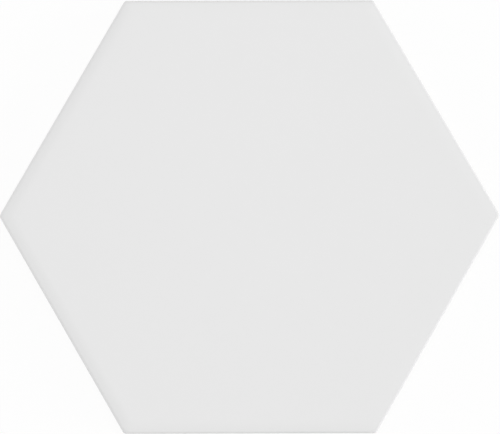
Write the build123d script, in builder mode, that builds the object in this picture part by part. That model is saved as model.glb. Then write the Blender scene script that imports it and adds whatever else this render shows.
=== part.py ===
"""A pressed and glazed hexagonal tile, which is one fired piece.

The tile lies on its back with its glazed face up. The origin is the middle of the plane that the
back rests on, +Z is out of the face, +X points at a corner and +Y at the middle of a side.
All sizes are in millimetres, and the drafts in degrees.
"""

from build123d import *

import os
from math import asin, cos, degrees, radians

# Outline, seen from above
ACROSS_FLATS = 175.0
CORNER_RADIUS = 1.6

# Thickness, from the plane that the back rests on to the middle of the face
THICKNESS = 9.0

# Face: flat in the middle, falling softly towards the sides, and then rounded over
CUSHION_WIDTH = 5.8
CUSHION_DROP = 0.6
ARRIS_RADIUS = 1.4

# Sides: an upright band that faces the next tile, and a foot with the draft of the die
BAND_BOTTOM = 4.6
FOOT_DRAFT = 2.5
FOOT_CHAMFER = 0.5

# Back: a honeycomb of shallow pockets, and the ribs between them that the tile rests on
POCKET_PITCH = 16.8
POCKET_RINGS = 5
RIB_WIDTH = 3.2
POCKET_DEPTH = 0.7
POCKET_DRAFT = 35.0
POCKET_CORNER_RADIUS = 1.8

SIDE_STEP = 60  # degrees from one side to the next
HALF_STEP = SIDE_STEP / 2  # degrees from a corner to the middle of the next side
HALF_FLATS = ACROSS_FLATS / 2
FACE_EDGE_HEIGHT = THICKNESS - CUSHION_DROP

# The fall is an arc that starts level and drops CUSHION_DROP over CUSHION_WIDTH
CUSHION_RADIUS = (CUSHION_WIDTH**2 + CUSHION_DROP**2) / (2 * CUSHION_DROP)
CUSHION_SLOPE = degrees(asin(CUSHION_WIDTH / CUSHION_RADIUS))
# At a corner the arc has further to go than at a side, and a little is cut off again
CORNER_REACH = 1.4

# The level middle of the face
LEVEL_APOTHEM = HALF_FLATS - CUSHION_WIDTH
LEVEL_CORNER = LEVEL_APOTHEM / cos(radians(HALF_STEP))


def honeycomb_centres(pitch, rings):
    """The centres of a hexagonal patch of cells, with the patch's own corners along X."""
    row_step = pitch * cos(radians(HALF_STEP))
    centres = []
    for row in range(-rings, rings + 1):
        cells = 2 * rings + 1 - abs(row)
        first = -(cells - 1) / 2
        centres += [((first + cell) * pitch, row * row_step) for cell in range(cells)]
    return centres


# What lies under the face if it had no outline: a level hexagon, an arc that falls from each of
# its sides, and the same arc turned about each of its corners
with BuildPart() as crown:
    with BuildSketch():
        RegularPolygon(LEVEL_APOTHEM, 6, major_radius=False)
    extrude(amount=THICKNESS)
    for turn in range(0, 360, SIDE_STEP):
        corner = Vector(LEVEL_CORNER, 0).rotate(Axis.Z, turn)
        outward = Vector(1, 0).rotate(Axis.Z, turn + HALF_STEP)
        along = outward.rotate(Axis.Z, 90)
        with BuildSketch(Plane(corner, x_dir=outward, z_dir=-along)) as fall:
            with BuildLine():
                arc = JernArc(
                    (0, THICKNESS), (1, 0), CUSHION_RADIUS, -CORNER_REACH * CUSHION_SLOPE
                )
                Polyline(arc @ 1, ((arc @ 1).X, 0), (0, 0), (0, THICKNESS))
            make_face()
        extrude(amount=-LEVEL_CORNER)
        revolve(fall.sketch, axis=Axis(corner, (0, 0, 1)), revolution_arc=-SIDE_STEP)

with BuildPart() as hexagon_tile:
    # Upright band, up to the face
    with BuildSketch(Plane.XY.offset(BAND_BOTTOM)) as outline:
        RegularPolygon(HALF_FLATS, 6, major_radius=False)
        fillet(outline.vertices(), CORNER_RADIUS)
    extrude(amount=THICKNESS - BAND_BOTTOM)

    # Foot below the band
    extrude(outline.sketch, amount=-BAND_BOTTOM, taper=FOOT_DRAFT)

    # Cushioned face and its rounded edge
    add(crown.part, mode=Mode.INTERSECT)
    face_edge = hexagon_tile.edges().filter_by_position(
        Axis.Z, FACE_EDGE_HEIGHT - CUSHION_DROP, FACE_EDGE_HEIGHT + CUSHION_DROP / 2
    )
    fillet(face_edge, ARRIS_RADIUS)

    # Edge of the back
    back_edge = hexagon_tile.edges().group_by(Axis.Z)[0]
    chamfer(back_edge, FOOT_CHAMFER)

    # Pockets in the back
    with BuildSketch() as pockets:
        with Locations(*honeycomb_centres(POCKET_PITCH, POCKET_RINGS)):
            RegularPolygon(
                (POCKET_PITCH - RIB_WIDTH) / 2, 6, major_radius=False, rotation=HALF_STEP
            )
        fillet(pockets.vertices(), POCKET_CORNER_RADIUS)
    extrude(amount=POCKET_DEPTH, taper=POCKET_DRAFT, mode=Mode.SUBTRACT)

hexagon_tile.part.label = "hexagon_tile"

os.makedirs("parts", exist_ok=True)
export_step(hexagon_tile.part, "parts/hexagon_tile.step")
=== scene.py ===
"""Dresses the hexagon tile and photographs it from above in a white light tent.

The tile is one pressed and fired piece of porcelain, with a matt white glaze on its face. Sizes are
in metres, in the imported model's frame: the tile lies on its ribbed back at height zero with its
glazed face up, +X points at a corner and +Y at the middle of a side. The finishes are so fine that
their sizes are in millimetres.
"""

import logging
from collections.abc import Iterable, Mapping, Sequence
from dataclasses import dataclass, fields
from enum import Enum
from functools import cached_property
from math import cos, pi, radians, tan
from typing import Any, ClassVar

import bmesh
import bpy
from mathutils import Euler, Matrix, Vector


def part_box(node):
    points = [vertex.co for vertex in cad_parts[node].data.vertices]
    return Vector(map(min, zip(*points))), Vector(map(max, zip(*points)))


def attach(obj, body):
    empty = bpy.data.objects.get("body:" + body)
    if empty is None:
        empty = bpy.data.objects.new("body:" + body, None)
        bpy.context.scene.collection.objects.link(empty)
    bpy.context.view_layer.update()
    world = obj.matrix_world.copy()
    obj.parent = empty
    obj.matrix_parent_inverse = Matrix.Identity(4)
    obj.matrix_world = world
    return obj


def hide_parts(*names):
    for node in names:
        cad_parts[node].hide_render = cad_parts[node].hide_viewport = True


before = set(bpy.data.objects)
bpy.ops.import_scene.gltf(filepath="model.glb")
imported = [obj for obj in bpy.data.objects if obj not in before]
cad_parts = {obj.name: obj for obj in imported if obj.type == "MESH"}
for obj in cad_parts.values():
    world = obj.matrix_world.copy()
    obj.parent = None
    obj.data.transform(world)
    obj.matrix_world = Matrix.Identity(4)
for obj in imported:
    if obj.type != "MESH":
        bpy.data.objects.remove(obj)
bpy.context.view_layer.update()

LOG = logging.getLogger("hexagon_tile")

MM = 0.001
NODE = "hexagon_tile"

SIDES = 6
SIDE_TURN = radians(60)
HALF_SIDE_TURN = radians(30)
QUARTER_TURN = pi / 2

# Vertices nearer than this are the same vertex
WELD = 0.001 * MM

# What carries a noise texture's swing about its middle to between -1 and 1
NOISE_SPAN = 4.0

# Watts that a lamp needs for each square metre and unit of glow
GLOW_POWER = 4.0

Colour = tuple[float, float, float, float]
WHITE: Colour = (1.0, 1.0, 1.0, 1.0)


class Wire:
    """An output socket that takes part in sums. Each step of a sum adds one Math node."""

    def __init__(self, wiring: "Wiring", socket: bpy.types.NodeSocket) -> None:
        """Keeps the socket, and the wiring that the nodes of its sums go to."""
        self.wiring = wiring
        self.socket = socket

    def other(self, output: str) -> "Wire":
        """Another output of the same node, by its identifier."""
        return self.wiring.output(self.socket.node, output)

    def __add__(self, value: "Operand") -> "Wire":
        """self + value"""
        return self.wiring.maths("ADD", self, value)

    def __radd__(self, value: "Operand") -> "Wire":
        """value + self"""
        return self.wiring.maths("ADD", value, self)

    def __sub__(self, value: "Operand") -> "Wire":
        """self - value"""
        return self.wiring.maths("SUBTRACT", self, value)

    def __rsub__(self, value: "Operand") -> "Wire":
        """value - self"""
        return self.wiring.maths("SUBTRACT", value, self)

    def __mul__(self, value: "Operand") -> "Wire":
        """self * value"""
        return self.wiring.maths("MULTIPLY", self, value)

    def __rmul__(self, value: "Operand") -> "Wire":
        """value * self"""
        return self.wiring.maths("MULTIPLY", value, self)

    def __truediv__(self, value: "Operand") -> "Wire":
        """self / value"""
        return self.wiring.maths("DIVIDE", self, value)

    def __rtruediv__(self, value: "Operand") -> "Wire":
        """value / self"""
        return self.wiring.maths("DIVIDE", value, self)

    def __pow__(self, value: "Operand") -> "Wire":
        """self to the power of value"""
        return self.wiring.maths("POWER", self, value)


Operand = Wire | float


class Wiring:
    """Adds nodes to one tree and links them."""

    def __init__(self, tree: bpy.types.NodeTree) -> None:
        """Keeps the tree."""
        self.tree = tree

    def output(self, node: bpy.types.Node, identifier: str) -> Wire:
        """One output of a node, by its identifier."""
        return Wire(self, next(s for s in node.outputs if s.identifier == identifier))

    def add(
        self,
        kind: str,
        settings: Mapping[str, Any] | None = None,
        sockets: Mapping[str, Any] | None = None,
    ) -> Wire:
        """Adds one node.

        Args:
            kind: The node's type.
            settings: The node's own properties, which are set first.
            sockets: A value, a wire or a list of wires for each input, by its identifier.

        Returns:
            The node's first output that is in use, if it has one.
        """
        node = self.tree.nodes.new(kind)
        for name, value in (settings or {}).items():
            setattr(node, name, value)
        for name, value in (sockets or {}).items():
            socket = next(s for s in node.inputs if s.identifier == name)
            wires = value if isinstance(value, list) else [value]
            for wire in wires:
                if isinstance(wire, Wire):
                    self.tree.links.new(wire.socket, socket)
                else:
                    socket.default_value = wire
        return Wire(self, next((s for s in node.outputs if s.enabled), None))

    def maths(self, operation: str, *values: Operand) -> Wire:
        """Adds one Math node.

        Args:
            operation: What it does.
            values: Its inputs, one or two in order.

        Returns:
            Its result.
        """
        inputs = dict(zip(("Value", "Value_001"), values))
        return self.add("ShaderNodeMath", {"operation": operation}, inputs)

    def spread(
        self,
        value: Operand,
        start: Operand,
        end: Operand,
        low: Operand,
        high: Operand,
        smooth: bool = False,
    ) -> Wire:
        """Carries a value from one range to another, and stops at its ends.

        Args:
            value: What is carried.
            start: The value that gives low.
            end: The value that gives high.
            low: The result at start and before it.
            high: The result at end and after it.
            smooth: Whether the result leaves both ends gently.

        Returns:
            The result.
        """
        return self.add(
            "ShaderNodeMapRange",
            {"interpolation_type": "SMOOTHSTEP" if smooth else "LINEAR", "clamp": True},
            {"Value": value, "From Min": start, "From Max": end, "To Min": low, "To Max": high},
        )


@dataclass(frozen=True)
class Spot:
    """A place or a direction in plan, as a wire or number along X and along Y."""

    x: Operand
    y: Operand

    def moved(self, way: "Spot", distance: Operand) -> "Spot":
        """The place at that distance along a direction."""
        return Spot(self.x + way.x * distance, self.y + way.y * distance)

    def scaled(self, share: Operand) -> "Spot":
        """The place at that share of the way from the middle."""
        return Spot(self.x * share, self.y * share)

    def towards(self, other: "Spot", share: Operand) -> "Spot":
        """The place at that share of the way to another."""
        return Spot(self.x + (other.x - self.x) * share, self.y + (other.y - self.y) * share)

    def less(self, other: "Spot") -> "Spot":
        """The way here from another place."""
        return Spot(self.x - other.x, self.y - other.y)

    def dot(self, other: "Spot") -> Operand:
        """The product of two directions, which is the cosine between two of length 1."""
        return self.x * other.x + self.y * other.y


class SizeKind(Enum):
    """The socket types that a tree's named sizes have."""

    LENGTH = "NodeSocketFloat"
    COUNT = "NodeSocketInt"


class Press(Wiring):
    """A Geometry Nodes tree that presses strips of faces into a shape. Its sizes are named inputs.

    Attributes:
        sweep: How far along its side a strip's vertex is, from -1 to 1.
        depth: How far across its strip the vertex is, from 0 to 1.
    """

    def __init__(self, name: str, sizes: Mapping[str, float]) -> None:
        """Makes the tree with one input for each size.

        Args:
            name: The tree's name.
            sizes: The value of each named size. A whole number is a count.
        """
        super().__init__(bpy.data.node_groups.new(name, "GeometryNodeTree"))
        self.sizes = dict(sizes)
        self.identifiers: dict[str, str] = {}
        interface = self.tree.interface
        interface.new_socket(name="Geometry", in_out="OUTPUT", socket_type="NodeSocketGeometry")
        for label, size in sizes.items():
            kind = SizeKind.COUNT if isinstance(size, int) else SizeKind.LENGTH
            socket = interface.new_socket(name=label, in_out="INPUT", socket_type=kind.value)
            self.identifiers[label] = socket.identifier
        self.group_input = self.tree.nodes.new("NodeGroupInput")
        position = self.add("GeometryNodeInputPosition")
        self.sweep = self.add("ShaderNodeSeparateXYZ", sockets={"Vector": position})
        self.depth = self.sweep.other("Y") + 0.5

    def size(self, label: str) -> Wire:
        """One of the tree's named sizes."""
        return self.output(self.group_input, self.identifiers[label])

    def strip(self, columns: int, rows: int, spot: Spot, height: Operand) -> Wire:
        """Presses one strip of faces.

        Args:
            columns: How many faces it has along the side.
            rows: How many faces it has across.
            spot: Where a vertex goes in plan, from its sweep and depth.
            height: How high it goes.

        Returns:
            The strip's mesh.
        """
        # The grid is as wide as the sweep's range and as deep as the depth's
        size = {"Size X": 2.0, "Size Y": 1.0}
        counts = {"Vertices X": columns + 1, "Vertices Y": rows + 1}
        grid = self.add("GeometryNodeMeshGrid", sockets=size | counts)
        return self.placed(grid, spot, height)

    def placed(self, geometry: Wire, spot: Spot, height: Operand) -> Wire:
        """Moves the vertices of a mesh to a place in plan and a height."""
        place = self.add("ShaderNodeCombineXYZ", sockets={"X": spot.x, "Y": spot.y, "Z": height})
        return self.add("GeometryNodeSetPosition", sockets={"Geometry": geometry, "Position": place})

    def copied(self, points: Wire, piece: Wire, sockets: Mapping[str, Wire] | None = None) -> Wire:
        """Puts a copy of a mesh on each point and joins the vertices that meet.

        Args:
            points: The points.
            piece: The mesh.
            sockets: More inputs of the node that makes the copies, by identifier.

        Returns:
            The copies, as one mesh.
        """
        inputs = {"Points": points, "Instance": piece, **(sockets or {})}
        copies = self.add("GeometryNodeInstanceOnPoints", sockets=inputs)
        real = self.add("GeometryNodeRealizeInstances", sockets={"Geometry": copies})
        return self.add("GeometryNodeMergeByDistance", sockets={"Geometry": real, "Distance": WELD})

    def all_sides(self, strips: Sequence[Wire], first_turn: float) -> Wire:
        """Turns the strips of one side into a whole hexagon.

        Args:
            strips: The strips of the side that faces +Y.
            first_turn: How far that side is turned about Z, in radians.

        Returns:
            The mesh of all six sides.
        """
        side = self.add("GeometryNodeJoinGeometry", sockets={"Geometry": list(strips)})
        spots = self.add("GeometryNodeMeshLine", sockets={"Count": SIDES, "Offset": (0.0, 0.0, 0.0)})
        angle = self.add("GeometryNodeInputIndex") * SIDE_TURN + first_turn
        euler = self.add("ShaderNodeCombineXYZ", sockets={"Z": angle})
        turn = self.add("FunctionNodeEulerToRotation", sockets={"Euler": euler})
        return self.copied(spots, side, {"Rotation": turn})

    def open_edge(self, mesh: Wire) -> Wire:
        """Finds the edges that have a face on one side only.

        Args:
            mesh: The mesh.

        Returns:
            The edges, as curves.
        """
        count = self.add("GeometryNodeInputMeshEdgeNeighbors")
        lone = self.add(
            "FunctionNodeCompare",
            {"data_type": "INT", "operation": "EQUAL"},
            {"A_INT": count, "B_INT": 1},
        )
        return self.add("GeometryNodeMeshToCurve", sockets={"Mesh": mesh, "Selection": lone})

    def fired(self, name: str, geometry: Wire, material: bpy.types.Material) -> bpy.types.Object:
        """Ends the tree, runs it and keeps what it makes as a plain mesh.

        Args:
            name: The piece's name.
            geometry: What the tree makes.
            material: The piece's material.

        Returns:
            The piece, which has no modifier.
        """
        real = self.add("GeometryNodeRealizeInstances", sockets={"Geometry": geometry})
        dressed = self.add("GeometryNodeSetMaterial", sockets={"Geometry": real, "Material": material})
        end = self.tree.nodes.new("NodeGroupOutput")
        self.tree.links.new(dressed.socket, end.inputs[0])
        piece = bpy.data.objects.new(name, bpy.data.meshes.new(name))
        bpy.context.scene.collection.objects.link(piece)
        modifier = piece.modifiers.new(name, "NODES")
        modifier.node_group = self.tree
        for label, identifier in self.identifiers.items():
            modifier[identifier] = self.sizes[label]
        pressed = piece.evaluated_get(bpy.context.evaluated_depsgraph_get())
        mesh = bpy.data.meshes.new_from_object(pressed)
        piece.modifiers.remove(modifier)
        piece.data = mesh
        mesh.name = name
        # The strips bring an empty material slot with them
        mesh.materials.clear()
        mesh.materials.append(material)
        return piece


@dataclass(frozen=True)
class RoundedSide:
    """One side of a hexagon with rounded corners, from the middle of one corner to the next.

    The side faces +Y.

    Attributes:
        line: The place on the outline.
        outward: The direction that the outline faces there.
        along: The distance from the middle of the side, before the rounding of its corners.
        hand: -1 on the left half of the side and 1 on the right half.
    """

    line: Spot
    outward: Spot
    along: Wire
    hand: Wire

    @classmethod
    def follow(
        cls,
        press: Press,
        apothem: Operand,
        radius: Operand,
        stations: Sequence[tuple[float, Operand]],
    ) -> "RoundedSide":
        """Follows a side with the tree's sweep.

        Args:
            press: The tree.
            apothem: The distance from the middle of the hexagon to the side.
            radius: The radius of the corners.
            stations: Shares of the half side's vertices, and how far along the side they reach.
                The last one ends at the rounding, which takes the vertices that are left.

        Returns:
            The side.
        """
        reach = press.maths("ABSOLUTE", press.sweep)
        hand = press.maths("SIGN", press.sweep)
        along: Operand = 0.0
        last_share = 0.0
        last_place: Operand = 0.0
        for share, place in stations:
            along = press.spread(reach, last_share, share, 0.0, place - last_place) + along
            last_share, last_place = share, place
        turn = press.spread(reach, last_share, 1.0, 0.0, HALF_SIDE_TURN)
        lean = press.maths("SINE", turn)
        rise = press.maths("COSINE", turn)
        line = Spot((along + lean * radius) * hand, apothem - radius + rise * radius)
        return cls(line, Spot(lean * hand, rise), along, hand)

    def inset(self, distance: Operand) -> Spot:
        """The place at that distance inside the outline."""
        return self.line.moved(self.outward, distance * -1.0)


def straight_half(apothem: Operand, radius: Operand) -> Wire:
    """Half the length of a hexagon's side that its rounded corners leave straight."""
    return (apothem - radius) * tan(HALF_SIDE_TURN)


def size_labels(owner: Any) -> dict[str, float]:
    """The sizes of a dataclass, under labels that start with a capital and have spaces."""
    return {f.name.replace("_", " ").capitalize(): getattr(owner, f.name) for f in fields(owner)}


@dataclass(frozen=True)
class EdgeBall:
    """A ball that rolls along the edge of the face, and touches both the cushion and the side.

    Attributes:
        radius: Its radius.
        spot: Where its middle is in plan.
        height: How high its middle is.
        facing: The direction that the cushion faces where they touch. Seen in plan, it is as long
            as the sine of the cushion's slope there.
        slope: The sine of that slope.
        upright: Its cosine.
    """

    radius: Wire
    spot: Spot
    height: Wire
    facing: Spot
    slope: Wire
    upright: Wire


@dataclass(frozen=True)
class Shell:
    """The face, its rounded edge and the sides, down to a flat rim around the back.

    Attributes:
        half_flats: The distance from the middle of the tile to a side.
        thickness: The height of the middle of the face.
        corner_radius: The radius of the outline's corners.
        cushion_width: How wide the face's soft fall is, up to the outline.
        cushion_drop: How far it falls by then.
        arris_radius: The radius of the rounded edge of the face.
        band_bottom: The height that the upright part of the sides ends at.
        foot_draft: The lean of the foot below it.
        foot_chamfer: How much is taken off the edge of the foot.
        foot_bulge: How full that edge is, from 1 for a straight chamfer to 2 for a round.
        rim_width: How wide the rim under the foot is.
    """

    half_flats: float
    thickness: float
    corner_radius: float = 1.6 * MM
    cushion_width: float = 5.8 * MM
    cushion_drop: float = 0.6 * MM
    arris_radius: float = 1.4 * MM
    band_bottom: float = 4.6 * MM
    foot_draft: float = radians(2.5)
    foot_chamfer: float = 0.5 * MM
    foot_bulge: float = 1.35
    rim_width: float = 0.6 * MM

    # Faces along a side, and the shares of its half that lie beside the level face and beside the
    # fan of the level face's corner
    columns: ClassVar[int] = 32
    middle_share: ClassVar[float] = 0.5
    fan_share: ClassVar[float] = 0.75

    # Faces across each part
    face_rows: ClassVar[int] = 12
    cushion_rows: ClassVar[int] = 14
    arris_rows: ClassVar[int] = 10
    band_rows: ClassVar[int] = 4
    foot_rows: ClassVar[int] = 5
    foot_edge_rows: ClassVar[int] = 6
    rim_rows: ClassVar[int] = 1

    def draw(self, press: Press) -> Wire:
        """Presses the shell.

        Args:
            press: The tree, which has this shell's sizes among its inputs.

        Returns:
            The shell's mesh, which is open underneath.
        """
        half_flats = press.size("Half flats")
        corner_radius = press.size("Corner radius")
        level_apothem = half_flats - press.size("Cushion width")
        level_half = level_apothem * tan(HALF_SIDE_TURN)
        straight = straight_half(half_flats, corner_radius)
        stations = [(self.middle_share, level_half), (self.fan_share, straight)]
        side = RoundedSide.follow(press, half_flats, corner_radius, stations)
        level = Spot(press.maths("MINIMUM", side.along, level_half) * side.hand, level_apothem)
        arc = self.cushion_arc(press)
        ball = self.edge_ball(press, side, level, arc)
        face_spot = level.scaled(press.depth)
        face = press.strip(self.columns, self.face_rows, face_spot, press.size("Thickness"))
        cushion = self.cushion(press, level, arc, ball)
        arris = self.arris(press, side, ball)
        flank = self.flank(press, side, ball.height)
        foot = self.foot(press, side)
        return press.all_sides([face, cushion, arris, *flank, *foot], 0.0)

    def cushion_arc(self, press: Press) -> Wire:
        """Finds the arc that the cushion falls in from the level face.

        Args:
            press: The tree.

        Returns:
            The arc's radius.
        """
        width = press.size("Cushion width")
        drop = press.size("Cushion drop")
        return (width * width + drop * drop) / (drop * 2.0)

    def edge_ball(self, press: Press, side: RoundedSide, level: Spot, arc: Wire) -> EdgeBall:
        """Places the ball that rounds the edge of the face.

        Args:
            press: The tree.
            side: The outline.
            level: The nearest place on the edge of the level face.
            arc: The radius of the cushion's arc.

        Returns:
            The ball beside each place on the outline.
        """
        radius = press.size("Arris radius")
        spot = side.inset(radius)
        # The ball's middle would roll down the cushion on a smaller arc
        path = arc - radius
        fall = spot.less(level)
        slope = press.maths("SQRT", fall.dot(fall)) / path
        upright = press.maths("SQRT", 1.0 - slope * slope)
        height = press.size("Thickness") - arc + path * upright
        return EdgeBall(radius, spot, height, fall.scaled(1.0 / path), slope, upright)

    def cushion(self, press: Press, level: Spot, arc: Wire, ball: EdgeBall) -> Wire:
        """Presses the cushion, from the level face to where the ball touches it.

        Args:
            press: The tree.
            level: The nearest place on the edge of the level face.
            arc: The radius of the cushion's arc.
            ball: The ball.

        Returns:
            The strip's mesh.
        """
        way = ball.facing.scaled(arc * press.depth)
        reach = ball.slope * arc * press.depth
        height = press.size("Thickness") - arc + press.maths("SQRT", arc * arc - reach * reach)
        spot = Spot(level.x + way.x, level.y + way.y)
        return press.strip(self.columns, self.cushion_rows, spot, height)

    def arris(self, press: Press, side: RoundedSide, ball: EdgeBall) -> Wire:
        """Presses the rounded edge, from where the ball leaves the cushion to where it meets the side.

        Args:
            press: The tree.
            side: The outline.
            ball: The ball.

        Returns:
            The strip's mesh.
        """
        turn = press.maths("ARCCOSINE", ball.facing.dot(side.outward))
        whole = press.maths("SINE", turn)
        before = press.maths("SINE", turn * (1.0 - press.depth)) / whole
        after = press.maths("SINE", turn * press.depth) / whole
        leaving = ball.spot.moved(ball.facing, before * ball.radius)
        spot = leaving.moved(side.outward, after * ball.radius)
        height = ball.height + ball.upright * before * ball.radius
        return press.strip(self.columns, self.arris_rows, spot, height)

    def flank(self, press: Press, side: RoundedSide, top: Wire) -> list[Wire]:
        """Presses the upright band below the rounded edge, and the drafted foot below the band.

        Args:
            press: The tree.
            side: The outline.
            top: The height that the rounded edge ends at.

        Returns:
            The strips' meshes.
        """
        band_bottom = press.size("Band bottom")
        draft = press.maths("TANGENT", press.size("Foot draft"))
        band_height = top + (band_bottom - top) * press.depth
        foot_height = band_bottom + (press.size("Foot chamfer") - band_bottom) * press.depth
        foot_spot = side.inset((band_bottom - foot_height) * draft)
        return [
            press.strip(self.columns, self.band_rows, side.line, band_height),
            press.strip(self.columns, self.foot_rows, foot_spot, foot_height),
        ]

    def foot(self, press: Press, side: RoundedSide) -> list[Wire]:
        """Presses the rounded edge of the foot, and a little of the rim under it.

        Args:
            press: The tree.
            side: The outline.

        Returns:
            The strips' meshes.
        """
        band_bottom = press.size("Band bottom")
        chamfer = press.size("Foot chamfer")
        draft = press.maths("TANGENT", press.size("Foot draft"))
        power = 2.0 / press.size("Foot bulge")
        angle = press.depth * QUARTER_TURN
        level_off = press.maths("MAXIMUM", press.maths("COSINE", angle), 0.0) ** power
        sink = press.maths("MAXIMUM", press.maths("SINE", angle), 0.0) ** power
        foot_inset = (band_bottom - chamfer) * draft
        rim_inset = band_bottom * draft + chamfer
        edge_spot = side.inset(rim_inset - (rim_inset - foot_inset) * level_off)
        under_spot = side.inset(rim_inset + press.size("Rim width") * press.depth)
        return [
            press.strip(self.columns, self.foot_edge_rows, edge_spot, chamfer * (1.0 - sink)),
            press.strip(self.columns, self.rim_rows, under_spot, 0.0),
        ]


@dataclass(frozen=True)
class Honeycomb:
    """The shallow pockets of the back, and the ribs between them that the tile rests on.

    Attributes:
        pocket_pitch: The distance from the middle of one pocket to the next.
        pocket_rings: How many rings of pockets lie around the middle one.
        rib_width: The width of the ribs.
        pocket_depth: How deep the pockets are.
        pocket_draft: The lean of their walls.
        pocket_corner_radius: The radius of their corners.
        pocket_softness: How far a wall's soft top and foot reach past it.
    """

    pocket_pitch: float = 16.8 * MM
    pocket_rings: int = 5
    rib_width: float = 3.2 * MM
    pocket_depth: float = 0.7 * MM
    pocket_draft: float = radians(35)
    pocket_corner_radius: float = 1.8 * MM
    pocket_softness: float = 0.14 * MM

    # Faces along a side of a pocket, and the share of its half that is straight
    columns: ClassVar[int] = 6
    straight_share: ClassVar[float] = 1 / 3

    # Faces across each part
    rib_rows: ClassVar[int] = 1
    wall_rows: ClassVar[int] = 6
    floor_rows: ClassVar[int] = 2

    def draw(self, press: Press) -> Wire:
        """Presses the pockets with the ribs between them, all over the back.

        Args:
            press: The tree, which has this honeycomb's sizes among its inputs.

        Returns:
            The honeycomb's mesh, which is flat at its zigzag edge.
        """
        return press.copied(self.centres(press), self.pocket(press))

    def pocket(self, press: Press) -> Wire:
        """Presses one pocket with half the ribs around it.

        Args:
            press: The tree.

        Returns:
            The pocket's mesh, around the middle of the back.
        """
        pitch = press.size("Pocket pitch")
        depth = press.size("Pocket depth")
        radius = press.size("Pocket corner radius")
        softness = press.size("Pocket softness")
        apothem = (pitch - press.size("Rib width")) * 0.5
        stations = [(self.straight_share, straight_half(apothem, radius))]
        side = RoundedSide.follow(press, apothem, radius, stations)

        # Neighbours meet along the middle of the rib, and the wall leaves rib and floor gently
        rib_middle = Spot(press.sweep * pitch * 0.5 * tan(HALF_SIDE_TURN), pitch * 0.5)
        rib_spot = rib_middle.towards(side.inset(softness * -1.0), press.depth)
        wall_width = depth * press.maths("TANGENT", press.size("Pocket draft")) + softness
        wall_spot = side.inset((wall_width + softness) * press.depth - softness)
        wall_height = press.spread(press.depth, 0.0, 1.0, 0.0, depth, smooth=True)
        floor_spot = side.inset(wall_width).scaled(1.0 - press.depth)
        strips = [
            press.strip(self.columns, self.rib_rows, rib_spot, 0.0),
            press.strip(self.columns, self.wall_rows, wall_spot, wall_height),
            press.strip(self.columns, self.floor_rows, floor_spot, depth),
        ]
        return press.all_sides(strips, HALF_SIDE_TURN)

    def centres(self, press: Press) -> Wire:
        """The middles of the pockets, in a hexagonal patch whose corners lie along X.

        Args:
            press: The tree.

        Returns:
            One vertex for each pocket.
        """
        rings = press.size("Pocket rings")
        pitch = press.size("Pocket pitch")
        across = rings * 2.0
        count = across + 1.0
        size = {"Size X": across, "Size Y": across}
        counts = {"Vertices X": count, "Vertices Y": count}
        grid = press.add("GeometryNodeMeshGrid", sockets=size | counts)

        # What lies beyond the last ring goes, and each row shifts by half a pitch
        row = press.sweep.other("Y")
        ring = press.maths("ABSOLUTE", press.sweep + row)
        limit = {"A": ring, "B": rings + 0.5}
        outside = press.add("FunctionNodeCompare", {"operation": "GREATER_THAN"}, limit)
        selected = {"Geometry": grid, "Selection": outside}
        patch = press.add("GeometryNodeDeleteGeometry", {"domain": "POINT"}, selected)
        spot = Spot((press.sweep + row * 0.5) * pitch, row * pitch * cos(HALF_SIDE_TURN))
        return press.placed(patch, spot, 0.0)


class Effect(Enum):
    """What a pattern may change, by the name that its strength has in the pattern."""

    TONE = "tone"
    ROUGHNESS = "roughness"
    HEIGHT = "height"
    COVER = "cover"


@dataclass(frozen=True, kw_only=True)
class Pattern:
    """A pattern in a finish, and how strongly it changes each thing.

    Attributes:
        tone: Its strength in the brightness, as a share.
        roughness: Its strength in the roughness.
        height: Its strength in the surface or in a line's height, in millimetres.
        cover: Its strength in how thickly a coat lies.
    """

    tone: float = 0.0
    roughness: float = 0.0
    height: float = 0.0
    cover: float = 0.0

    def drawn(self, bench: "Bench") -> Wire:
        """The pattern's own value, which each kind of pattern works out for itself."""
        raise NotImplementedError


class Bench(Wiring):
    """The nodes of one material. Its places are in millimetres."""

    def __init__(self, name: str) -> None:
        """Makes an empty material.

        Args:
            name: The material's name.
        """
        self.material = bpy.data.materials.new(name)
        self.material.use_nodes = True
        super().__init__(self.material.node_tree)
        self.tree.nodes.clear()
        self.patterns: dict[Pattern, Wire] = {}

    @cached_property
    def place(self) -> Wire:
        """The place on the piece."""
        inputs = {"Vector": self.add("ShaderNodeTexCoord").other("Object"), "Scale": 1 / MM}
        return self.add("ShaderNodeVectorMath", {"operation": "SCALE"}, inputs)

    @cached_property
    def height(self) -> Wire:
        """The height of the place above the plane that the tile rests on."""
        return self.add("ShaderNodeSeparateXYZ", sockets={"Vector": self.place}).other("Z")

    def pattern(self, pattern: Pattern) -> Wire:
        """Draws a pattern once, however many things it changes.

        Args:
            pattern: The pattern.

        Returns:
            The pattern's value.
        """
        if pattern not in self.patterns:
            self.patterns[pattern] = pattern.drawn(self)
        return self.patterns[pattern]

    def swung(self, value: Operand, patterns: Iterable[Pattern], effect: Effect) -> Operand:
        """Lets patterns swing a value.

        Args:
            value: The value without them.
            patterns: The patterns.
            effect: Which of their strengths counts.

        Returns:
            The value over the surface.
        """
        for pattern in patterns:
            strength = getattr(pattern, effect.value)
            if strength:
                value = self.pattern(pattern) * strength + value
        return value

    def mixed(self, share: Operand, low: Wire, high: Wire) -> Wire:
        """A colour between two others: low where the share is 0 and high where it is 1."""
        colours = {"Factor_Float": share, "A_Color": low, "B_Color": high}
        return self.add("ShaderNodeMix", {"data_type": "RGBA"}, colours)

    def shaded(self, colour: Colour, tone: Operand) -> Wire:
        """A colour at a tone, which is 1 for the colour as it is."""
        sockets = {"Vector": colour[:3], "Scale": tone}
        return self.add("ShaderNodeVectorMath", {"operation": "SCALE"}, sockets)


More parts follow.
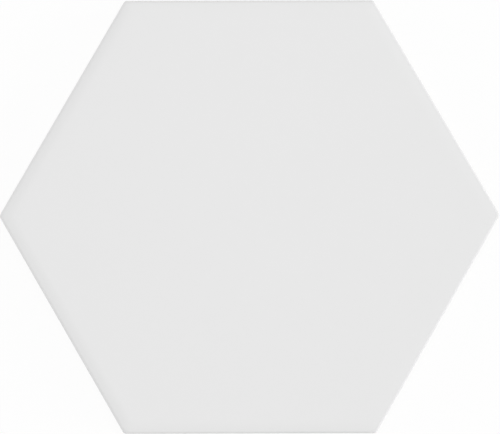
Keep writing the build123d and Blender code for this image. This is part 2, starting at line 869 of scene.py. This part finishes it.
@dataclass(frozen=True, kw_only=True)
class Grain(Pattern):
    """Soft irregular patches that swing both ways.

    Attributes:
        size: About how wide the patches are, in millimetres.
        detail: How many finer layers they have.
        stretch: How much longer they are along X, Y and Z.
    """

    size: float
    detail: float = 2.0
    stretch: tuple[float, float, float] = (1.0, 1.0, 1.0)

    def drawn(self, bench: Bench) -> Wire:
        """Draws the patches.

        Args:
            bench: The material's nodes.

        Returns:
            The patches' value, nearly all of it between -1 and 1.
        """
        squeeze = tuple(1 / (self.size * longer) for longer in self.stretch)
        factors = {"Vector": bench.place, "Vector_001": squeeze}
        place = bench.add("ShaderNodeVectorMath", {"operation": "MULTIPLY"}, factors)
        patches = {"Vector": place, "Scale": 1.0, "Detail": self.detail}
        return (bench.add("ShaderNodeTexNoise", sockets=patches) - 0.5) * NOISE_SPAN


@dataclass(frozen=True, kw_only=True)
class Specks(Pattern):
    """Small round specks.

    Attributes:
        spacing: About how far apart the places for them are, in millimetres.
        radius: Their radius, in millimetres.
        share: How many of the places have one.
    """

    spacing: float
    radius: float
    share: float

    # How much of the radius lies inside the soft rim
    core: ClassVar[float] = 0.5

    def drawn(self, bench: Bench, density: Operand = 1.0) -> Wire:
        """Draws the specks.

        Args:
            bench: The material's nodes.
            density: What the share is thinned out to, where it varies over the surface.

        Returns:
            1 in a speck and 0 outside, with a soft rim.
        """
        places = {"Vector": bench.place, "Scale": 1 / self.spacing}
        cells = bench.add("ShaderNodeTexVoronoi", sockets=places)
        luck = bench.add("ShaderNodeSeparateXYZ", sockets={"Vector": cells.other("Color")})
        chosen = bench.maths("LESS_THAN", luck, density * self.share)
        distance = cells * self.spacing
        return bench.spread(distance, self.radius * self.core, self.radius, 1.0, 0.0) * chosen


@dataclass(frozen=True)
class Layer:
    """What one coat gives the shader. Its height is in millimetres."""

    colour: Wire
    roughness: Operand
    height: Operand

    def under(self, bench: Bench, top: "Layer", share: Operand) -> "Layer":
        """This layer where the share is 0, and the top one where it is 1."""
        return Layer(
            bench.mixed(share, self.colour, top.colour),
            self.roughness + (top.roughness - self.roughness) * share,
            self.height + (top.height - self.height) * share,
        )


@dataclass(frozen=True)
class Coat:
    """One coat of the tile's finish.

    Attributes:
        colour: Its colour.
        roughness: Its roughness.
        thickness: How far it stands proud of the bare body, in millimetres.
        patterns: What varies it over the surface.
    """

    colour: Colour
    roughness: float
    thickness: float
    patterns: tuple[Pattern, ...]

    def laid(self, bench: Bench) -> Layer:
        """What the coat gives the shader where it lies full."""
        return Layer(
            bench.shaded(self.colour, self.tone(bench)),
            bench.swung(self.roughness, self.patterns, Effect.ROUGHNESS),
            bench.swung(self.thickness, self.patterns, Effect.HEIGHT),
        )

    def tone(self, bench: Bench) -> Operand:
        """How bright the coat is, against its own colour."""
        return bench.swung(1.0, self.patterns, Effect.TONE)

    def share(self, bench: Bench) -> Operand:
        """Where the coat lies, from 0 to 1: everywhere, unless it says otherwise."""
        return 1.0


@dataclass(frozen=True)
class PressedBody(Coat):
    """The bare fired porcelain: ivory, powdery and lightly dragged by the die on its sides."""

    colour: Colour = (0.7, 0.665, 0.6, 1.0)
    roughness: float = 0.86
    thickness: float = 0.0
    patterns: tuple[Pattern, ...] = (
        Grain(size=11.0, tone=0.02),
        Grain(size=1.8, height=0.012),
        Grain(size=0.4, detail=3.0, tone=0.025, roughness=0.03, height=0.008),
        Grain(size=0.5, stretch=(1.0, 1.0, 12.0), tone=0.012, height=0.006),
        Specks(spacing=1.6, radius=0.13, share=0.3, tone=-0.3),
    )


@dataclass(frozen=True)
class KilnWash(Coat):
    """The chalky wash that is rolled over the ribs, so that the tile doesn't stick in the kiln.

    Attributes:
        rib_top: The height that it lies full up to, and the height that it ends at.
        streaks: What makes it thinner, along the way that it was rolled.
        streak_range: The streaks' value where it lies thinnest, and where it lies full.
        thinnest: How much of it is left in the streaks.
    """

    colour: Colour = (0.83, 0.82, 0.795, 1.0)
    roughness: float = 0.95
    thickness: float = 0.02
    patterns: tuple[Pattern, ...] = (
        Grain(size=0.6, detail=3.0, tone=0.02, roughness=0.01, height=0.006),
    )
    rib_top: tuple[float, float] = (0.02, 0.12)
    streaks: tuple[Pattern, ...] = (
        Grain(size=2.2, detail=4.0, stretch=(9.0, 1.0, 1.0), cover=1.0),
        Grain(size=7.0, detail=3.0, cover=1.0),
    )
    streak_range: tuple[float, float] = (-1.3, 0.3)
    thinnest: float = 0.25

    def share(self, bench: Bench) -> Operand:
        """Lays the wash on the ribs, thinner in streaks.

        Args:
            bench: The material's nodes.

        Returns:
            How much of the body the wash hides.
        """
        on_rib = bench.spread(bench.height, *self.rib_top, 1.0, 0.0)
        streaks = bench.swung(0.0, self.streaks, Effect.COVER)
        return on_rib * bench.spread(streaks, *self.streak_range, self.thinnest, 1.0, smooth=True)


@dataclass(frozen=True)
class MattGlaze(Coat):
    """A matt white glaze, smooth to the hand, with hardly any mottling.

    Attributes:
        arris: The lowest and the highest height of the rounded edge, which it runs thin over.
        arris_blend: How far inside those heights it is at its thinnest.
        arris_thin_glaze_and_shade_tone: How bright it is there, against the face. The darkening is
            partly the glaze running thinner and partly painted shade on the rounded edge.
        line: The height of the line on the sides that it ends at.
        line_blend: How far above and below the line it ends.
        wander: What the line wanders by.
        spray: The droplets of it on the bare body below the line.
        spray_reach: How far below the line they reach.
        spray_cover: How much of the body they hide.
    """

    colour: Colour = (0.79, 0.79, 0.79, 1.0)
    roughness: float = 0.4
    thickness: float = 0.1
    patterns: tuple[Pattern, ...] = (
        Grain(size=45.0, tone=0.002),
        Grain(size=1.6, detail=3.0, tone=0.0012),
        Grain(size=6.0, detail=3.0, roughness=0.015),
        Grain(size=3.0, height=0.003),
        Grain(size=0.5, height=0.0004),
        Specks(spacing=4.0, radius=0.09, share=0.5, tone=-0.1, height=-0.03),
    )
    arris: tuple[float, float] = (7.05, 8.635)
    arris_blend: tuple[float, float] = (0.4, 0.05)
    arris_thin_glaze_and_shade_tone: float = 0.974
    line: float = 6.1
    line_blend: float = 0.12
    wander: tuple[Pattern, ...] = (
        Grain(size=14.0, height=0.35),
        Grain(size=2.5, height=0.14),
    )
    spray: Specks = Specks(spacing=0.8, radius=0.16, share=0.35)
    spray_reach: float = 1.8
    spray_cover: float = 0.7

    def tone(self, bench: Bench) -> Operand:
        """Darkens the glaze on the rounded edge, partly because it runs thinner there and partly as
        painted shade.

        Args:
            bench: The material's nodes.

        Returns:
            How bright it is, against its own colour.
        """
        low, high = self.arris
        low_blend, high_blend = self.arris_blend
        above_low = bench.spread(bench.height, low, low + low_blend, 0.0, 1.0)
        below_high = bench.spread(bench.height, high - high_blend, high, 1.0, 0.0)
        # The rounded edge's colour is darkened, partly for the thinner glaze and partly as painted
        # shade
        return super().tone(bench) - above_low * below_high * (1.0 - self.arris_thin_glaze_and_shade_tone)

    def share(self, bench: Bench) -> Operand:
        """Lays the glaze above its line, with a little spray below.

        Args:
            bench: The material's nodes.

        Returns:
            How much of the body the glaze hides.
        """
        above = bench.height - bench.swung(self.line, self.wander, Effect.HEIGHT)
        coat = bench.spread(above, -self.line_blend, self.line_blend, 0.0, 1.0, smooth=True)
        density = bench.spread(above, -self.spray_reach, 0.0, 0.0, 1.0)
        return bench.maths("MAXIMUM", coat, self.spray.drawn(bench, density) * self.spray_cover)


@dataclass(frozen=True)
class FiredTile:
    """The tile's whole finish, from the bare body up."""

    coats: tuple[Coat, ...] = (PressedBody(), KilnWash(), MattGlaze())
    refraction: float = 1.5

    def material(self) -> bpy.types.Material:
        """Makes the material.

        Returns:
            The material.
        """
        bench = Bench("fired_tile")
        body, *coats = self.coats
        layer = body.laid(bench)
        for coat in coats:
            layer = layer.under(bench, coat.laid(bench), coat.share(bench))
        relief = {"Height": layer.height, "Strength": 1.0, "Distance": MM}
        normal = bench.add("ShaderNodeBump", sockets=relief)
        shader = bench.add(
            "ShaderNodeBsdfPrincipled",
            sockets={
                "Base Color": layer.colour,
                "Roughness": layer.roughness,
                "Normal": normal,
                "IOR": self.refraction,
            },
        )
        bench.add("ShaderNodeOutputMaterial", sockets={"Surface": shader})
        return bench.material


@dataclass(frozen=True)
class HexagonTile:
    """The whole tile, which is one piece."""

    shell: Shell
    honeycomb: Honeycomb
    finish: FiredTile

    def make(self) -> bpy.types.Object:
        """Presses the tile, closes its back and dresses it.

        Returns:
            The piece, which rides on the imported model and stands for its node.
        """
        press = Press("hexagon_tile_press", size_labels(self.shell) | size_labels(self.honeycomb))
        shell = self.shell.draw(press)
        honeycomb = self.honeycomb.draw(press)
        edges = [press.open_edge(shell), press.open_edge(honeycomb)]
        outlines = press.add("GeometryNodeJoinGeometry", sockets={"Geometry": edges})
        margin = press.add("GeometryNodeFillCurve", {"mode": "TRIANGLES"}, {"Curve": outlines})
        whole = press.add("GeometryNodeJoinGeometry", sockets={"Geometry": [shell, honeycomb, margin]})
        piece = press.fired("tile", whole, self.finish.material())
        close_up(piece.data)
        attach(piece, "root")
        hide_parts(NODE)
        return piece


def close_up(mesh: bpy.types.Mesh) -> None:
    """Joins the vertices that meet, turns every face outwards and shades the mesh smooth.

    Args:
        mesh: The mesh, which is changed in place.
    """
    work = bmesh.new()
    work.from_mesh(mesh)
    bmesh.ops.remove_doubles(work, verts=work.verts, dist=WELD)
    bmesh.ops.dissolve_degenerate(work, edges=work.edges, dist=WELD)
    bmesh.ops.recalc_face_normals(work, faces=work.faces)
    work.to_mesh(mesh)
    work.free()
    mesh.shade_smooth()


class Ray(Enum):
    """The rays that see the white background itself."""

    CAMERA = "Is Camera Ray"
    GLOSSY = "Is Glossy Ray"
    TRANSMISSION = "Is Transmission Ray"


def seen_directly(wiring: Wiring) -> Wire:
    """Tells the rays that see the white background from those that carry its light.

    Args:
        wiring: The nodes of the floor or the tent.

    Returns:
        1 for the rays that see it, and 0 for the others.
    """
    path = wiring.add("ShaderNodeLightPath")
    seen = path.other(Ray.CAMERA.value)
    for ray in (Ray.GLOSSY, Ray.TRANSMISSION):
        seen = wiring.maths("MAXIMUM", seen, path.other(ray.value))
    return seen


@dataclass(frozen=True)
class Floor:
    """A white floor that shows a light shadow.

    Attributes:
        own_white: How much of what the camera sees there is plain white, without the shadow.
        gap: How far it lies below the tile, so that the two don't flicker.
    """

    half_size: float = 15.0
    colour: Colour = (0.94, 0.94, 0.94, 1.0)
    own_white: float = 0.9
    gap: float = 0.02 * MM

    def lay(self) -> bpy.types.Object:
        """Lays the floor under the tile.

        Returns:
            The floor.
        """
        mesh = bpy.data.meshes.new("floor")
        half = self.half_size
        ring = [(-half, -half), (half, -half), (half, half), (-half, half)]
        mesh.from_pydata([(x, y, -self.gap) for x, y in ring], [], [(0, 1, 2, 3)])
        mesh.materials.append(self.material())
        floor = bpy.data.objects.new("floor", mesh)
        bpy.context.scene.collection.objects.link(floor)
        return floor

    def material(self) -> bpy.types.Material:
        """Makes the material, which is matt to the light and mostly plain white to the camera.

        Returns:
            The material.
        """
        bench = Bench("floor_white")
        matt = bench.add("ShaderNodeBsdfDiffuse", sockets={"Color": self.colour})
        white = bench.add("ShaderNodeEmission", sockets={"Strength": 1.0})
        share = seen_directly(bench) * self.own_white
        both = {"Fac": share, "Shader": matt, "Shader_001": white}
        shader = bench.add("ShaderNodeMixShader", sockets=both)
        bench.add("ShaderNodeOutputMaterial", sockets={"Surface": shader})
        return bench.material


@dataclass(frozen=True)
class SoftBox:
    """A glowing panel that faces the tile.

    Attributes:
        place: Where its middle is.
        glow: How bright it is, where 1 is white.
        mirrored: Whether it shows in the glaze. A low one would wash out the face.
    """

    name: str
    place: tuple[float, float, float]
    width: float
    height: float
    glow: float
    mirrored: bool

    def hang(self) -> bpy.types.Object:
        """Hangs the box, with its width level.

        Returns:
            The lamp.
        """
        data = bpy.data.lights.new(self.name, "AREA")
        data.shape = "RECTANGLE"
        data.size = self.width
        data.size_y = self.height
        data.energy = self.glow * self.width * self.height * GLOW_POWER
        box = bpy.data.objects.new(self.name, data)
        box.location = self.place
        box.rotation_euler = Vector(self.place).to_track_quat("Z", "Y").to_euler()
        box.visible_glossy = self.mirrored
        bpy.context.scene.collection.objects.link(box)
        return box


@dataclass(frozen=True)
class Studio:
    """A white tent with a soft box overhead, one low on the right and a dim one low on the left.

    Attributes:
        tent: How bright the tent's light is, where 1 is white.
    """

    tent: float = 0.583
    boxes: tuple[SoftBox, ...] = (
        SoftBox("overhead_box", (0.11, 0.57, 4.0), width=2.5, height=4.4, glow=1.21, mirrored=True),
        SoftBox("right_box", (7.81, -0.64, 1.59), width=10.2, height=3.1, glow=2.65, mirrored=False),
        SoftBox("left_box", (-7.67, 0.0, 2.29), width=7.0, height=2.0, glow=1.65, mirrored=False),
    )

    def light(self) -> None:
        """Puts up the tent and hangs the boxes. The tent is white to look at, and gives less light."""
        world = bpy.data.worlds.new("tent")
        world.use_nodes = True
        world.node_tree.nodes.clear()
        wiring = Wiring(world.node_tree)
        strength = seen_directly(wiring) * (1.0 - self.tent) + self.tent
        tent = wiring.add("ShaderNodeBackground", sockets={"Color": WHITE, "Strength": strength})
        wiring.add("ShaderNodeOutputWorld", sockets={"Surface": tent})
        bpy.context.scene.world = world
        for box in self.boxes:
            box.hang()


@dataclass(frozen=True)
class Viewpoint:
    """The camera, which looks almost straight down on the face.

    Attributes:
        aim: The point that it looks at.
        distance: How far it is from that point.
        tilt: How far it leans back from straight above.
        turn: How far it is turned about Z.
        lens: Its focal length in millimetres.
    """

    aim: tuple[float, float, float] = (0.0002, -0.0007, 0.009)
    distance: float = 0.559
    tilt: float = radians(2.73)
    turn: float = radians(-0.15)
    lens: float = 100.0

    def take(self) -> bpy.types.Object:
        """Places the camera and makes it the scene's.

        Returns:
            The camera.
        """
        data = bpy.data.cameras.new("camera")
        data.lens = self.lens
        camera = bpy.data.objects.new("camera", data)
        stance = Euler((self.tilt, 0.0, self.turn))
        camera.rotation_euler = stance
        back = stance.to_matrix() @ Vector((0.0, 0.0, 1.0))
        camera.location = Vector(self.aim) + back * self.distance
        bpy.context.scene.collection.objects.link(camera)
        bpy.context.scene.camera = camera
        return camera


def main() -> None:
    """Builds the tile, the floor, the lights and the camera."""
    logging.basicConfig(level=logging.INFO, format="%(name)s: %(message)s")
    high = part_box(NODE)[1]
    tile = HexagonTile(Shell(half_flats=high.y, thickness=high.z), Honeycomb(), FiredTile())
    piece = tile.make()
    triangles = sum(len(face.vertices) - 2 for face in piece.data.polygons)
    LOG.info("%s: %d triangles, %.1f mm wide", piece.name, triangles, piece.dimensions.x / MM)
    floor = Floor().lay()
    LOG.info("%s: %.0f m wide", floor.name, floor.dimensions.x)
    Studio().light()
    camera = Viewpoint().take()
    LOG.info("%s: %.0f mm lens", camera.name, camera.data.lens)
    bpy.context.scene.view_settings.view_transform = "Standard"


if __name__ == "__main__":
    main()
